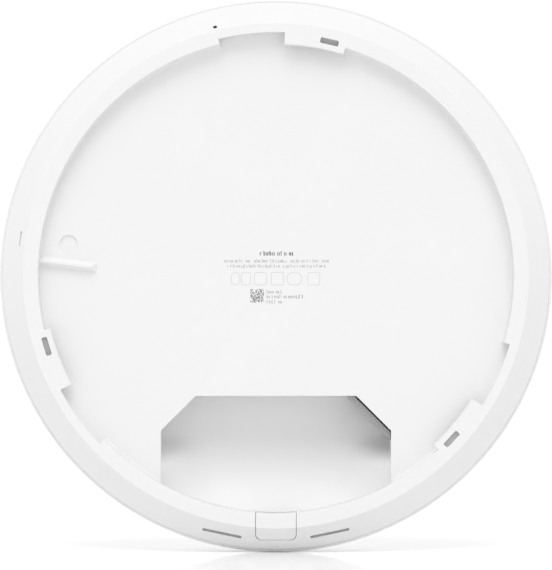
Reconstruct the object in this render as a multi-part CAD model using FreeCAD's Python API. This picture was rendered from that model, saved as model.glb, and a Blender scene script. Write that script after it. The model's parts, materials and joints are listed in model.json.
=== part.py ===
"""A round ceiling access point, built as separate solids, one STEP file for each piece. Millimetres.

Frame: the origin is the centre of the flat rear rim. +Y runs from the rear rim to the front of the dome,
+Z is up with the cable exit at the bottom, and +X is to the right as seen from the rear.
Angles are clockwise from +Z as seen from the rear.
"""

import FreeCAD
import Part
import math
import os

# Rear housing
SEAM_R = 101.9           # outer edge of the rear housing, at the seam with the dome
SEAM_Y = 8.2
RIM_OUTER_R = SEAM_R - SEAM_Y   # the bevel between rim and seam is at 45 degrees
RIM_INNER_R = 88.25
RECESS_DEPTH = 5.5
RECESS_DRAFT = 0.45      # the recess wall leans in by this much on its way down to the floor
FLOOR = 2.0              # thickness of the recess floor
FLOOR_BACK = RECESS_DEPTH + FLOOR
WALL_BACK_R = 92.4       # outer face of the wall round the recess
LIP_OUTER_R = 100.5
LIP_INNER_R = 99.0
LIP_END = 13.0
SKIN = 2.0               # thickness of the bevelled skin

# Twist lock, three times round the rim
LOCKS = 3
LOCK_START = -13.65
LOCK_STEP = 2.1          # angle where the entry notch ends and the tab starts
LOCK_END = 16.9
NOTCH_R = 90.4
TAB_R = 85.7
TAB_THICK = 1.8
TAB_SLOPE = 0.35
UNDERCUT_R = 90.6
WINDOW_ANGLE = 12.9
WINDOW_R = 89.0
WINDOW_SIZE = (6.9, 2.15)
WINDOW_PIT = 1.2         # depth of the pit in the recess floor behind each window

# Small features of the bevel and of the recess floor
RESET_ANGLE = -13.75
RESET_R = 95.0
RESET_HOLE_SIZE = (1.5, 1.05)
SIDE_SLOT_ANGLE = -81.7
SIDE_SLOT_R = 95.8
SIDE_SLOT_SIZE = (5.7, 0.6)
SIDE_SLOT_FLOOR = 2.9    # the side slot is a shallow groove that ends at this level
VENT_ANGLE = 168.15
VENT_R = 97.75
VENT_SIZE = (14.8, 1.0)
BAFFLE_Y = 6.2           # rear face of the baffle behind each vent slot
BAFFLE = 1.2
RIB_START = (-88.6, 5.65)
RIB_END = (-66.6, 3.05)
RIB_WIDTH = 4.0
RIB_HEIGHT = 2.4
DISC_MARK = (-77.1, 11.85)
DISC_MARK_R = 3.35
DISC_MARK_DEPTH = 0.6

# Cable pocket and cable exit
POCKET_TOP = -44.65
POCKET_TOP_HALF = 29.9
POCKET_HALF = 42.85
POCKET_SHOULDER = POCKET_TOP - (POCKET_HALF - POCKET_TOP_HALF)
POCKET_FLOOR = 25.0
POCKET_WALL = 1.8
BOWL_START = -56.0       # below this height the pocket's floor curves up to the exit
SIDE_CURVE_START = -60.0     # below this height it also curves up to the side walls
SIDE_CURVE_RUN = 12.0
SIDE_CURVE_WIDTH = 25.0
SIDE_CURVE_DEPTH = 8.0   # depth where the curve meets the side wall
BOWL_REACH = 52.0        # the floor is drawn a little past the pocket, on a grid of points
BOWL_HEIGHTS = (-104.0, -36.0)
BOWL_ROWS = 34
BOWL_COLUMNS = 40
EXIT_FLOOR = 13.0
EXIT_HALF = 7.7
EXIT_END = -98.3
EXIT_CORNER = 2.2
COVER_SIDE_GAP = 0.3
COVER_END_GAP = 0.12
COVER_REACH = 6.4        # how far in the cover's walls go; the cable passes in front of them

# Dome
DOME_R = 103.0
DOME_START = 9.1
DOME_EDGE_Y = 11.0
DOME_EDGE_R = 22.0
DOME_APEX = 46.0
DOME_WALL = 2.2
RING_HOLE_R = 30.8
RING_OUTER_R = 30.6
RING_INNER_R = 28.6
SNAPS = 6

# Levels inside, measured from the rear rim
SINK_BACK = 17.5
SINK_FRONT = 20.2
BOARD_BACK = 22.0
BOARD = 1.6
BOARD_FRONT = BOARD_BACK + BOARD
BOARD_R = 88.0
SINK_R = 84.0
SCREW_CIRCLE_R = 80.0
SINK_SCREWS = (-137, -95, -40, 40)
TALL_SCREWS = (95, 137)
SCREW_HOLE_R = 1.6
LED_BOARD_BACK = 31.4
LED_BOARD_FRONT = 32.6
LED_CIRCLE_R = 29.6
LED_SCREW_R = 40.0

# Ethernet port: its mouth faces down and to the left out of the pocket's chamfered corner
PORT_ANGLE = 45
PORT_X = (POCKET_TOP_HALF + POCKET_HALF) / 2
PORT_Z = (POCKET_TOP + POCKET_SHOULDER) / 2
JACK_HALF = 8.2
JACK_BACK_Y = 8.6
JACK_FRONT_Y = 21.8
JACK_LENGTH = 20.5
SHELL = 0.4
SOCKET_HALF = 5.95
SOCKET_Y = (11.0, 19.6)
SOCKET_DEPTH = 13.0

# Blower
FAN_X = -38.0
FAN_Z = 8.0
FAN_HALF = 25.0
FAN_COVER_Y = 9.6
FAN_WALL_Y = 10.4
FAN_BASE_Y = 16.4
HUB_R = 11.5
BLADE_R = 21.0
BLADES = 13
SHAFT_R = 1.0
BEARING_CLEARANCE = 0.05

UP = FreeCAD.Vector(0, 0, 1)
FORWARD = FreeCAD.Vector(0, 1, 0)
CENTRE = FreeCAD.Vector(0, 0, 0)


# Shape helpers

def polar(radius, angle):
    """The (x, z) of a point at a clockwise angle from the top, seen from the rear."""
    a = math.radians(angle)
    return radius * math.sin(a), radius * math.cos(a)


def turn(shape, angle):
    """A copy of the shape, turned clockwise about the Y axis as seen from the rear."""
    turned_shape = shape.copy()
    turned_shape.rotate(CENTRE, FORWARD, angle)
    return turned_shape


def move(shape, x, y, z):
    """A copy of the shape, moved."""
    moved = shape.copy()
    moved.translate(FreeCAD.Vector(x, y, z))
    return moved


def rod(radius, y0, y1, x=0.0, z=0.0):
    """A round rod along Y."""
    return Part.makeCylinder(radius, y1 - y0, FreeCAD.Vector(x, y0, z), FORWARD)


def tube(outer, inner, y0, y1, x=0.0, z=0.0):
    """A round tube along Y."""
    return rod(outer, y0, y1, x, z).cut(rod(inner, y0, y1, x, z))


def block(x0, x1, y0, y1, z0, z1):
    """A box between two corners."""
    return Part.makeBox(x1 - x0, y1 - y0, z1 - z0, FreeCAD.Vector(x0, y0, z0))


def chip(x, z, width, height, y0, y1):
    """A box centred on (x, z)."""
    return block(x - width / 2, x + width / 2, y0, y1, z - height / 2, z + height / 2)


def wire(points, place):
    """A closed wire through 2-D points (u, v) or (u, v, radius); a radius rounds that corner."""
    corners = []
    for i, point in enumerate(points):
        here = FreeCAD.Vector(point[0], point[1], 0)
        radius = point[2] if len(point) > 2 else 0
        if radius == 0:
            corners.append((here, None, here))
            continue
        after = points[(i + 1) % len(points)]
        a = (FreeCAD.Vector(points[i - 1][0], points[i - 1][1], 0) - here).normalize()
        b = (FreeCAD.Vector(after[0], after[1], 0) - here).normalize()
        half = a.getAngle(b) / 2
        reach = radius / math.tan(half)
        inward = (a + b).normalize()
        middle = here + inward * (radius / math.sin(half) - radius)
        corners.append((here + a * reach, middle, here + b * reach))
    edges = []
    for i, (start, middle, end) in enumerate(corners):
        if middle:
            edges.append(Part.Arc(place(start), place(middle), place(end)).toShape())
        following = corners[(i + 1) % len(corners)][0]
        if end.distanceToPoint(following) > 1e-6:
            edges.append(Part.LineSegment(place(end), place(following)).toShape())
    return Part.Wire(edges)


def plate(points, y0, y1):
    """A flat plate with an (x, z) outline, from y0 to y1."""
    outline = wire(points, lambda p: FreeCAD.Vector(p.x, y0, p.y))
    return Part.Face(outline).extrude(FORWARD * (y1 - y0))


def turned(points):
    """A solid of revolution about Y from an (r, y) profile."""
    profile = wire(points, lambda p: FreeCAD.Vector(p.x, p.y, 0))
    return Part.Face(profile).revolve(CENTRE, FORWARD, 360)


def sector(r_inner, r_outer, start, end, y0, y1):
    """A piece of a ring between two angles."""
    def point(radius, angle):
        x, z = polar(radius, angle)
        return FreeCAD.Vector(x, y0, z)

    middle = (start + end) / 2
    edges = [
        Part.Arc(point(r_outer, start), point(r_outer, middle), point(r_outer, end)).toShape(),
        Part.LineSegment(point(r_outer, end), point(r_inner, end)).toShape(),
        Part.Arc(point(r_inner, end), point(r_inner, middle), point(r_inner, start)).toShape(),
        Part.LineSegment(point(r_inner, start), point(r_outer, start)).toShape(),
    ]
    return Part.Face(Part.Wire(edges)).extrude(FORWARD * (y1 - y0))


def slot_at(angle, radius, size, corner, y0, y1):
    """A rounded slot through the rim, long side along the rim."""
    half_w, half_h = size[0] / 2, size[1] / 2
    points = [
        (-half_w, radius - half_h, corner),
        (half_w, radius - half_h, corner),
        (half_w, radius + half_h, corner),
        (-half_w, radius + half_h, corner),
    ]
    return turn(plate(points, y0, y1), angle)


def fuse(shapes):
    """All the shapes as one solid."""
    return shapes[0].multiFuse(shapes[1:]).removeSplitter()


def group(shapes):
    """Separate identical solids that share one node."""
    return Part.makeCompound(shapes)


def lead(points, radius, bend):
    """A round lead along straight runs joined by tangent arcs of radius bend."""
    vectors = [FreeCAD.Vector(*p) for p in points]
    edges = []
    start = vectors[0]
    for i in range(1, len(vectors) - 1):
        here = vectors[i]
        a = (vectors[i - 1] - here).normalize()
        b = (vectors[i + 1] - here).normalize()
        half = a.getAngle(b) / 2
        reach = bend / math.tan(half)
        middle = here + (a + b).normalize() * (bend / math.sin(half) - bend)
        edges.append(Part.LineSegment(start, here + a * reach).toShape())
        edges.append(Part.Arc(here + a * reach, middle, here + b * reach).toShape())
        start = here + b * reach
    edges.append(Part.LineSegment(start, vectors[-1]).toShape())
    direction = vectors[1] - vectors[0]
    section = Part.Wire([Part.makeCircle(radius, vectors[0], direction)])
    return Part.Wire(edges).makePipeShell([section], True, False)


def screw(x, z, seat, length, head_r, head_height, shank_r):
    """A pan-head screw along Y: its head stands in front of the seat and its shank runs to the rear."""
    head = rod(head_r, seat, seat + head_height, x, z)
    shank = rod(shank_r, seat - length, seat, x, z)
    cross = chip(x, z, head_r * 1.2, 0.5, seat + head_height * 0.4, seat + head_height + 1)
    cross_2 = chip(x, z, 0.5, head_r * 1.2, seat + head_height * 0.4, seat + head_height + 1)
    return head.fuse(shank).cut(cross).cut(cross_2).removeSplitter()


# Rear housing and cable cover

def pocket_outline(grow):
    """The pocket's (x, z) outline, grown outwards by a wall's thickness."""
    slant = grow * math.tan(math.radians(22.5))
    top = POCKET_TOP + grow
    half_top = POCKET_TOP_HALF + slant
    half = POCKET_HALF + grow
    shoulder = POCKET_SHOULDER + slant
    upper = [(-half, shoulder), (-half_top, top), (half_top, top), (half, shoulder)]
    return upper + [(half, -95), (-half, -95)]


def bowl_floor(z):
    """Depth of the pocket's floor on its middle line: flat, then an arc up to the exit."""
    run = RIM_INNER_R + BOWL_START
    rise = POCKET_FLOOR - EXIT_FLOOR
    arc_r = (run * run + rise * rise) / (2 * rise)
    past = min(max(0.0, BOWL_START - z), run + 3)
    return POCKET_FLOOR - (arc_r - math.sqrt(arc_r * arc_r - past * past))


def bowl_depth(x, z):
    """Depth of the pocket's floor at a point: lower down, it also curves up to the side walls."""
    middle = bowl_floor(z)
    share = min(1.0, max(0.0, (SIDE_CURVE_START - z) / SIDE_CURVE_RUN))
    share = share * share * (3 - 2 * share)
    rise = share * max(0.0, middle - SIDE_CURVE_DEPTH)
    across = max(0.0, (abs(x) - POCKET_HALF + SIDE_CURVE_WIDTH) / SIDE_CURVE_WIDTH)
    return middle - rise * across ** 2.2


def bowl_solid(grow):
    """Everything behind the pocket's floor, with the floor moved forwards by a wall's thickness."""
    step = 0.01
    low, high = BOWL_HEIGHTS
    rows = []
    for j in range(BOWL_ROWS + 1):
        z = low + (high - low) * j / BOWL_ROWS
        row = []
        for i in range(BOWL_COLUMNS + 1):
            x = BOWL_REACH * (2 * i / BOWL_COLUMNS - 1)
            slope_x = (bowl_depth(x + step, z) - bowl_depth(x - step, z)) / (2 * step)
            slope_z = (bowl_depth(x, z + step) - bowl_depth(x, z - step)) / (2 * step)
            wall = grow * math.sqrt(1 + slope_x ** 2 + slope_z ** 2)
            row.append(FreeCAD.Vector(x, bowl_depth(x, z) + wall, z))
        rows.append(row)
    floor = Part.BSplineSurface()
    floor.interpolate(rows)
    return floor.toShape().extrude(FreeCAD.Vector(0, -60, 0))


def pocket_space(grow, y0):
    """The pocket as a solid block of space, grown outwards by grow and starting at depth y0."""
    outline = plate(pocket_outline(grow), y0, POCKET_FLOOR + grow + 5)
    return outline.common(bowl_solid(grow)).common(rod(RIM_INNER_R + grow, 0, 40))


def exit_prism(side_gap, end_gap, y0, y1):
    """The U-shaped cable exit through the rim, less the gaps round the cover that fills it."""
    half = EXIT_HALF - side_gap
    end = EXIT_END + end_gap
    return plate([(-half, -80), (-half, end, EXIT_CORNER), (half, end, EXIT_CORNER), (half, -80)], y0, y1)


def housing_skin():
    """The turned body of the rear housing: recess floor, rim, bevel and the lip that locates the dome."""
    inner_line = RIM_OUTER_R - SKIN * math.sqrt(2)
    return turned([
        (0, RECESS_DEPTH),
        (RIM_INNER_R - RECESS_DRAFT, RECESS_DEPTH, 0.6),
        (RIM_INNER_R, 0, 0.35),
        (RIM_OUTER_R, 0, 0.4),
        (SEAM_R, SEAM_Y, 0.2),
        (SEAM_R, SEAM_Y + 0.5),
        (LIP_OUTER_R, SEAM_Y + 0.5),
        (LIP_OUTER_R, LIP_END),
        (LIP_INNER_R, LIP_END),
        (LIP_INNER_R, LIP_INNER_R - inner_line),
        (inner_line + 2, 2),
        (WALL_BACK_R, 2),
        (WALL_BACK_R, FLOOR_BACK),
        (0, FLOOR_BACK),
    ])


def lock_tabs():
    """The three ledges that hold a bracket's lugs, each with a sloped inner edge."""
    edge_r = TAB_R + TAB_SLOPE
    slope = turned([(0, -1), (edge_r + 0.6, -1), (edge_r, 0), (TAB_R, TAB_THICK - 0.4),
                    (TAB_R, TAB_THICK + 1), (0, TAB_THICK + 1)])
    tab = sector(TAB_R - 1, RIM_INNER_R + 1, LOCK_STEP, LOCK_END, 0, TAB_THICK).cut(slope)
    return [turn(tab, i * 360 / LOCKS) for i in range(LOCKS)]


def lock_cuts():
    """The three entry notches, the undercuts behind the tabs and the windows through the tabs."""
    notch = sector(TAB_R, NOTCH_R, LOCK_START, LOCK_STEP, -1, RECESS_DEPTH)
    undercut = sector(TAB_R - 1, UNDERCUT_R, LOCK_START, LOCK_END, TAB_THICK, RECESS_DEPTH)
    window = slot_at(WINDOW_ANGLE, WINDOW_R, WINDOW_SIZE, 0.5, -1, RECESS_DEPTH - 1)
    pit = slot_at(WINDOW_ANGLE, WINDOW_R, WINDOW_SIZE, 0.5, RECESS_DEPTH - 2, RECESS_DEPTH + WINDOW_PIT)
    one = notch.fuse(undercut).fuse(window).fuse(pit)
    return [turn(one, i * 360 / LOCKS) for i in range(LOCKS)]


def bevel_openings():
    """The pin hole, the thin side groove, the two vent slots and the disc mark in the recess floor.
    Each vent slot ends at its baffle and turns inward there, into the housing."""
    half_turn = math.degrees(VENT_SIZE[0] / 2 / VENT_R)
    vents = []
    for angle in (VENT_ANGLE, -VENT_ANGLE):
        vents.append(slot_at(angle, VENT_R, VENT_SIZE, 0.45, -1, BAFFLE_Y))
        vents.append(sector(VENT_R - 2.3, VENT_R - 0.2, angle - half_turn, angle + half_turn,
                            BAFFLE_Y - 0.9, BAFFLE_Y))
    return vents + [
        slot_at(RESET_ANGLE, RESET_R, RESET_HOLE_SIZE, 0.5, -1, 6),
        slot_at(SIDE_SLOT_ANGLE, SIDE_SLOT_R, SIDE_SLOT_SIZE, 0.28, -1, SIDE_SLOT_FLOOR),
        rod(DISC_MARK_R, RECESS_DEPTH - 1, RECESS_DEPTH + DISC_MARK_DEPTH, *DISC_MARK),
    ]


def vent_baffles():
    """A ledge behind each vent slot, held by the skin at its outer edge."""
    reach = math.degrees(VENT_SIZE[0] / 2 / VENT_R) + 0.6
    front = BAFFLE_Y + BAFFLE
    return [sector(VENT_R - 0.85, LIP_INNER_R + 0.5, angle - reach, angle + reach, BAFFLE_Y, front)
            for angle in (VENT_ANGLE, -VENT_ANGLE)]


def floor_rib():
    """The ridge on the recess floor: a sloped section with a mitred end."""
    length = math.dist(RIB_START, RIB_END)
    tilt = math.degrees(math.atan2(RIB_START[1] - RIB_END[1], RIB_END[0] - RIB_START[0]))
    half = RIB_WIDTH / 2
    top = RECESS_DEPTH - RIB_HEIGHT
    section = Part.makePolygon([
        FreeCAD.Vector(0, RECESS_DEPTH + 0.2, -half),
        FreeCAD.Vector(0, RECESS_DEPTH + 0.2, half),
        FreeCAD.Vector(0, top, 0.35),
        FreeCAD.Vector(0, top, -0.35),
        FreeCAD.Vector(0, RECESS_DEPTH + 0.2, -half),
    ])
    bar = Part.Face(section).extrude(FreeCAD.Vector(length, 0, 0))
    mitre = Part.Face(Part.makePolygon([
        FreeCAD.Vector(length - RIB_HEIGHT, top - 0.1, -5),
        FreeCAD.Vector(length + 1, top - 0.1, -5),
        FreeCAD.Vector(length + 1, RECESS_DEPTH + 0.8, -5),
        FreeCAD.Vector(length - RIB_HEIGHT, top - 0.1, -5),
    ])).extrude(UP * 10)
    rib = bar.cut(mitre)
    rib.rotate(CENTRE, FORWARD, tilt)
    return move(rib, RIB_START[0], 0, RIB_START[1])


def board_bosses():
    """The bosses that carry the heat sink and the main board, each with a hole for its screw."""
    bosses = []
    holes = []
    for angles, top in ((SINK_SCREWS, SINK_BACK), (TALL_SCREWS, BOARD_BACK)):
        for angle in angles:
            x, z = polar(SCREW_CIRCLE_R, angle)
            bosses.append(rod(3.2, RECESS_DEPTH + 0.5, top, x, z))
            holes.append(rod(1.3, FLOOR_BACK + 1, top, x, z))
    return bosses, holes


def exit_chute():
    """The channel round the cable exit, from the pocket to the lip."""
    half = EXIT_HALF + POCKET_WALL
    channel = block(-half, half, 2, EXIT_FLOOR + 1.4, -LIP_INNER_R - 1, 2 - RIM_INNER_R)
    outer_r = LIP_INNER_R + 0.6
    return channel.common(turned([(0, 0), (RIM_OUTER_R, 0), (SEAM_R, SEAM_Y), (outer_r, 10.5),
                                  (outer_r, 20), (0, 20)]))


def rear_housing():
    """The rear housing with its recess, twist lock, cable pocket and cable exit."""
    inner_line = RIM_OUTER_R - SKIN * math.sqrt(2)
    envelope = turned([(0, 0), (RIM_OUTER_R, 0), (SEAM_R, SEAM_Y), (LIP_INNER_R + 1, LIP_END),
                       (0, LIP_END)])
    reset_x, reset_z = polar(RESET_R, RESET_ANGLE)
    bosses, boss_holes = board_bosses()
    reset_guide = rod(2.7, RESET_R - inner_line - 1.2, RESET_GUIDE_END, reset_x, reset_z)
    body = fuse([
        housing_skin(),
        pocket_space(POCKET_WALL, RECESS_DEPTH),
        exit_chute(),
        reset_guide,
        floor_rib().common(rod(RIM_INNER_R + 0.2, 0, 10)),
        *lock_tabs(),
        *vent_baffles(),
        *bosses,
    ])
    body = body.cut(pocket_space(0, RECESS_DEPTH - 2))
    body = body.cut(exit_prism(0, 0, -1, EXIT_FLOOR))
    body = body.cut(place_at_port(block(-8.6, 8.6, 8.2, 22.2, -1, POCKET_WALL + 3)))
    body = body.cut(rod(RESET_BORE_R, RESET_BUTTON_BACK - 0.1, 20, reset_x, reset_z))
    for cut in lock_cuts() + bevel_openings() + boss_holes + snap_windows():
        body = body.cut(cut)
    return body.common(envelope.fuse(rod(RIM_INNER_R + 4, 0, 30))
                       .fuse(rod(LIP_OUTER_R, SEAM_Y, 20))).removeSplitter()


def cable_cover():
    """The removable cover of the cable exit: it carries on the rim's flat face, inner wall and bevel."""
    inner_line = RIM_OUTER_R - SKIN * math.sqrt(2)
    depth = COVER_REACH
    section = turned([
        (RIM_INNER_R, COVER_REACH),
        (RIM_INNER_R, 0, 0.35),
        (RIM_OUTER_R, 0, 0.4),
        (RIM_OUTER_R + depth, depth),
        (inner_line + depth, depth),
        (inner_line + 2, 2),
        (RIM_INNER_R + 1.8, 2),
        (RIM_INNER_R + 1.8, COVER_REACH),
    ])
    shell = section.common(exit_prism(COVER_SIDE_GAP, COVER_END_GAP, -1, COVER_REACH))
    cheek = plate([(-0.7, 1.5 - RIM_OUTER_R), (0.7, 1.5 - RIM_OUTER_R), (0.7, -2.6 - RIM_INNER_R),
                   (-0.7, -2.6 - RIM_INNER_R)], 1.9, depth)
    side = EXIT_HALF - COVER_SIDE_GAP - 0.7
    grip = block(-3, 3, 1.9, 4.2, -RIM_INNER_R - 2.6, -RIM_INNER_R - 1.7)
    return fuse([shell, move(cheek, -side, 0, 0), move(cheek, side, 0, 0), grip])


# Dome, light ring and front disc

CROWN_R = ((DOME_R - DOME_EDGE_R) ** 2 + (DOME_APEX - DOME_EDGE_Y) ** 2 - DOME_EDGE_R ** 2) / (
    2 * (DOME_APEX - DOME_EDGE_Y - DOME_EDGE_R))
CROWN_Y = DOME_APEX - CROWN_R


def crown_height(radius, inset=0.0):
    """The depth of the dome's crown at a radius, inset from its outer face."""
    return CROWN_Y + math.sqrt((CROWN_R - inset) ** 2 - radius ** 2)


def dome_section():
    """Half the dome's section: outer skin, inner skin and the hole for the light ring."""
    edge = FreeCAD.Vector(DOME_R - DOME_EDGE_R, DOME_EDGE_Y, 0)
    crown = FreeCAD.Vector(0, CROWN_Y, 0)
    direction = (edge - crown).normalize()
    slope = math.atan2(direction.x, direction.y)

    def on_edge(inset, angle):
        reach = DOME_EDGE_R - inset
        return edge + FreeCAD.Vector(reach * math.sin(angle), reach * math.cos(angle), 0)

    def on_crown(inset, radius):
        return FreeCAD.Vector(radius, crown_height(radius, inset), 0)

    middle = (math.pi / 2 + slope) / 2
    start = FreeCAD.Vector(DOME_R, DOME_START + 0.8, 0)
    inward = 0.8 * (1 - math.sqrt(0.5))
    round_middle = FreeCAD.Vector(DOME_R - inward, DOME_START + inward, 0)
    round_end = FreeCAD.Vector(DOME_R - 0.8, DOME_START, 0)
    skirt = FreeCAD.Vector(DOME_R - DOME_WALL, DOME_START, 0)
    mid_r = (RING_HOLE_R + on_edge(0, slope).x) / 2
    wall = DOME_WALL
    return Part.Wire([
        Part.LineSegment(start, on_edge(0, math.pi / 2)).toShape(),
        Part.Arc(on_edge(0, math.pi / 2), on_edge(0, middle), on_edge(0, slope)).toShape(),
        Part.Arc(on_edge(0, slope), on_crown(0, mid_r), on_crown(0, RING_HOLE_R)).toShape(),
        Part.LineSegment(on_crown(0, RING_HOLE_R), on_crown(wall, RING_HOLE_R)).toShape(),
        Part.Arc(on_crown(wall, RING_HOLE_R), on_crown(wall, mid_r), on_edge(wall, slope)).toShape(),
        Part.Arc(on_edge(wall, slope), on_edge(wall, middle), on_edge(wall, math.pi / 2)).toShape(),
        Part.LineSegment(on_edge(wall, math.pi / 2), skirt).toShape(),
        Part.LineSegment(skirt, round_end).toShape(),
        Part.Arc(round_end, round_middle, start).toShape(),
    ])


def snap_windows():
    """The windows in the housing's lip that the dome's hooks snap into."""
    window = sector(LIP_INNER_R - 1, LIP_OUTER_R + 1, -2.2, 2.2, 10.2, 12.2)
    return [turn(window, 30 + i * 360 / SNAPS) for i in range(SNAPS)]


def front_dome():
    """The front dome with its snap hooks and the bosses for the light board."""
    shell = Part.Face(dome_section()).revolve(CENTRE, FORWARD, 360)
    hook = sector(LIP_INNER_R + 0.6, DOME_R - 1, -1.8, 1.8, 10.5, 11.9)
    hooks = [turn(hook, 30 + i * 360 / SNAPS) for i in range(SNAPS)]
    x, z = polar(LED_SCREW_R, 0)
    boss = rod(2.8, LED_BOARD_FRONT, crown_height(LED_SCREW_R, 1), x, z)
    hole = rod(1.0, LED_BOARD_FRONT - 1, LED_BOARD_FRONT + 6, x, z)
    bosses = [turn(boss, i * 120) for i in range(3)]
    body = fuse([shell, *hooks, *bosses])
    for i in range(3):
        body = body.cut(turn(hole, i * 120))
    return body


def crown_cap(outer, inner, top_inset, bottom_inset):
    """A ring or disc whose two faces follow the dome's crown."""
    def on_crown(radius, inset):
        return FreeCAD.Vector(radius, crown_height(radius, inset), 0)

    middle = (outer + inner) / 2
    profile = Part.Wire([
        Part.Arc(on_crown(outer, top_inset), on_crown(middle, top_inset),
                 on_crown(inner, top_inset)).toShape(),
        Part.LineSegment(on_crown(inner, top_inset), on_crown(inner, bottom_inset)).toShape(),
        Part.Arc(on_crown(inner, bottom_inset), on_crown(middle, bottom_inset),
                 on_crown(outer, bottom_inset)).toShape(),
        Part.LineSegment(on_crown(outer, bottom_inset), on_crown(outer, top_inset)).toShape(),
    ])
    return Part.Face(profile).revolve(CENTRE, FORWARD, 360)


def light_ring():
    """The clear ring: its face is flush with the dome, its tube reaches back to the lamps."""
    face = crown_cap(RING_OUTER_R, RING_INNER_R, 0, 3)
    body = tube(RING_OUTER_R, RING_INNER_R, LED_BOARD_FRONT + 1.3, crown_height(RING_OUTER_R, 2))
    outer_flange = tube(34, RING_INNER_R, 39.9, 41.5)
    inner_flange = tube(RING_OUTER_R, 24.5, 40.4, 41.9)
    return fuse([body, face, outer_flange, inner_flange])


def front_disc():
    """The plain disc inside the light ring, with the rim that it rests on."""
    disc = crown_cap(RING_INNER_R - 0.15, 0, 0, 2)
    rim = tube(RING_INNER_R - 0.15, 25, 41.95, crown_height(RING_INNER_R, 1.5))
    return fuse([disc, rim])


# Boards, heat sink and electronics

def board_cut():
    """The space round the cable pocket that the boards and the heat sink leave free."""
    return plate(pocket_outline(POCKET_WALL + 1.0), 0, 40)


def main_board():
    """The round main board, cut out round the pocket, with an ear for the reset switch."""
    ear = turn(chip(0, RESET_R - 5.4, 8, 12, BOARD_BACK, BOARD_FRONT), RESET_ANGLE)
    body = fuse([rod(BOARD_R, BOARD_BACK, BOARD_FRONT), ear]).cut(board_cut())
    for angle in SINK_SCREWS + TALL_SCREWS:
        x, z = polar(SCREW_CIRCLE_R, angle)
        body = body.cut(rod(SCREW_HOLE_R, BOARD_BACK - 1, BOARD_FRONT + 1, x, z))
    return body


def heat_sink():
    """The die-cast heat sink: a plate with fins towards the rear and pads up to the main board."""
    base = plate([(-90, -90), (-90, 90), (60, 90), (60, 42, 4), (52, 32, 4), (52, -22, 4),
                  (30, -36), (30, -90)], SINK_BACK, SINK_FRONT).common(rod(SINK_R, 0, 40))
    solids = [base]
    fin_pitch = 6.0
    for i in range(15):
        z = -30 + i * fin_pitch
        length = math.sqrt(70 ** 2 - z ** 2)
        right = min(length, 49.0)
        left = -length if z > FAN_Z + FAN_HALF + 12 else FAN_X + FAN_HALF + 1.5
        solids.append(block(left, right, FLOOR_BACK + 1.2, SINK_BACK, z - 0.8, z + 0.8))
    for angle in SINK_SCREWS:
        x, z = polar(SCREW_CIRCLE_R, angle)
        solids.append(rod(3.6, SINK_BACK, BOARD_BACK, x, z))
    body = fuse(solids).cut(board_cut())
    for angle in SINK_SCREWS:
        x, z = polar(SCREW_CIRCLE_R, angle)
        body = body.cut(rod(SCREW_HOLE_R, SINK_BACK - 1, BOARD_BACK + 1, x, z))
    for x, z in FAN_SCREWS:
        body = body.cut(rod(1.0, SINK_BACK - 1, SINK_FRONT + 1, x, z))
    return body.cut(chip(FAN_X, 40, 12, 14, 0, 30)).common(rod(SINK_R, 0, 40))


HOT_CHIPS = {
    "processor": [(20, 18, 19)],
    "radio_chips": [(-4, -20, 12), (24, -16, 12), (-4, 52, 12)],
    "ethernet_chip": [(42, -10, 9)],
}


def chips(places):
    """Square chips on the rear face of the main board."""
    return [chip(x, z, size, size, SINK_FRONT + 0.6, BOARD_BACK) for x, z, size in places]


def thermal_pads():
    """The soft pads between the hot chips and the heat sink."""
    places = [place for places in HOT_CHIPS.values() for place in places]
    return group([chip(x, z, size - 1, size - 1, SINK_FRONT, SINK_FRONT + 0.6) for x, z, size in places])


def memory_chips():
    """Two memory chips beside the processor, clear of the heat sink."""
    return group([chip(42, z, 9, 13, SINK_FRONT + 0.9, BOARD_BACK) for z in (10, 28)])


def flash_chip():
    """The small storage chip."""
    return chip(20, 40, 8, 6, SINK_FRONT + 1.0, BOARD_BACK)


def crystal():
    """The clock crystal in its metal can, on the board's front face."""
    can = plate([(-1.6, -1.25, 0.4), (1.6, -1.25, 0.4), (1.6, 1.25, 0.4), (-1.6, 1.25, 0.4)],
                BOARD_FRONT, BOARD_FRONT + 0.8)
    return move(can, 20, 0, 5)


SHIELDS = {
    "shield_2g": (-52, 36, 26, 22),
    "shield_5g": (-52, -12, 30, 26),
    "shield_6g": (40, 46, 26, 20),
    "shield_processor": (14, 12, 40, 36),
}


def shield(x, z, width, height):
    """A thin pressed can over part of the board."""
    top = BOARD_FRONT + 2.6
    outer = chip(x, z, width, height, BOARD_FRONT, top)
    inner = chip(x, z, width - 0.6, height - 0.6, BOARD_FRONT, top - 0.3)
    vents = [rod(0.6, top - 1, top + 1, x + dx * 5, z + dz * 5) for dx in (-1, 0, 1) for dz in (-1, 0, 1)]
    return outer.cut(inner).cut(group(vents))


def amplifiers():
    """The small amplifier chips under the radio shields."""
    places = []
    for name in ("shield_2g", "shield_5g", "shield_6g"):
        x, z, width, _ = SHIELDS[name]
        places += [(x + dx * width / 6, z + dz) for dx in (-1, 1) for dz in (-4, 4)]
    return group([chip(x, z, 4, 3, BOARD_FRONT, BOARD_FRONT + 0.9) for x, z in places])


def capacitors():
    """The round electrolytic capacitors of the power section."""
    cans = []
    for x, z in ((64, 22), (64, 33), (74, 20)):
        can = rod(4, BOARD_BACK - 9, BOARD_BACK, x, z)
        groove = tube(4.5, 3.7, BOARD_BACK - 1.9, BOARD_BACK - 1.3, x, z)
        cans.append(can.cut(groove))
    return group(cans)


def power_inductors():
    """The square power inductors: a base with a round core on it."""
    parts = []
    for x, z in ((60, 8), (70, 8)):
        base = chip(x, z, 8, 8, BOARD_BACK - 1.2, BOARD_BACK)
        parts.append(base.fuse(rod(3.6, BOARD_BACK - 4.2, BOARD_BACK - 1.2, x, z)).removeSplitter())
    return group(parts)


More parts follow.
